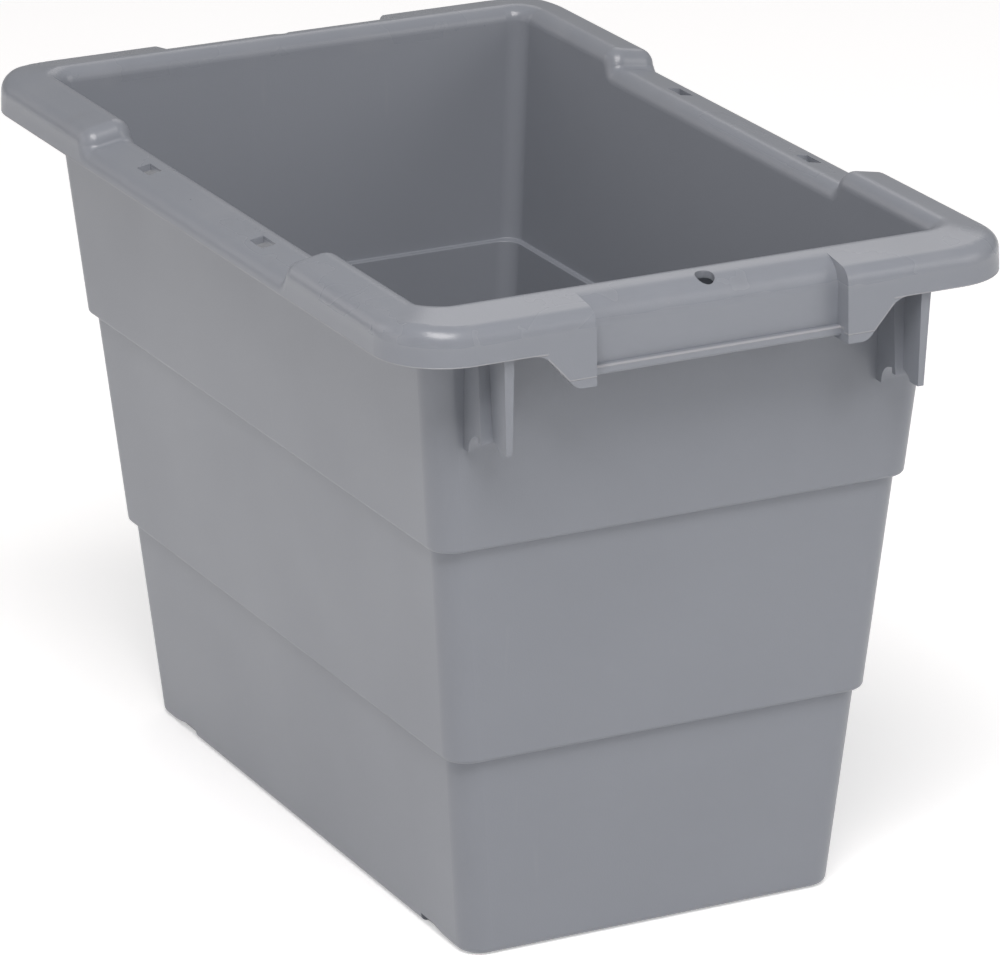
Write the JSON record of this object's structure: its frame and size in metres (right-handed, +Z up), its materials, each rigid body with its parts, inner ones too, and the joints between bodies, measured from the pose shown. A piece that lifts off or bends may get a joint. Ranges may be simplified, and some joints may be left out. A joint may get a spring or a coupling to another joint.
{
  "type": "stack and nest tote",
  "caption": "Tapered open plastic tote with stepped walls, a hollow rim with raised corners, a recessed handle at each end and ribs under the rim for stacking and nesting.",
  "frame": {"origin": "centre of the underside, on the surface that the tote stands on", "axes": "+X along the tote's length towards one handle end, +Y across it, +Z up"},
  "size_m": [0.4382, 0.2792, 0.2969],
  "materials": {
    "plastic": "satin, fine moulding grain"
  },
  "bodies": {
    "root": {"tote": "plastic"}
  },
  "joints": []
}
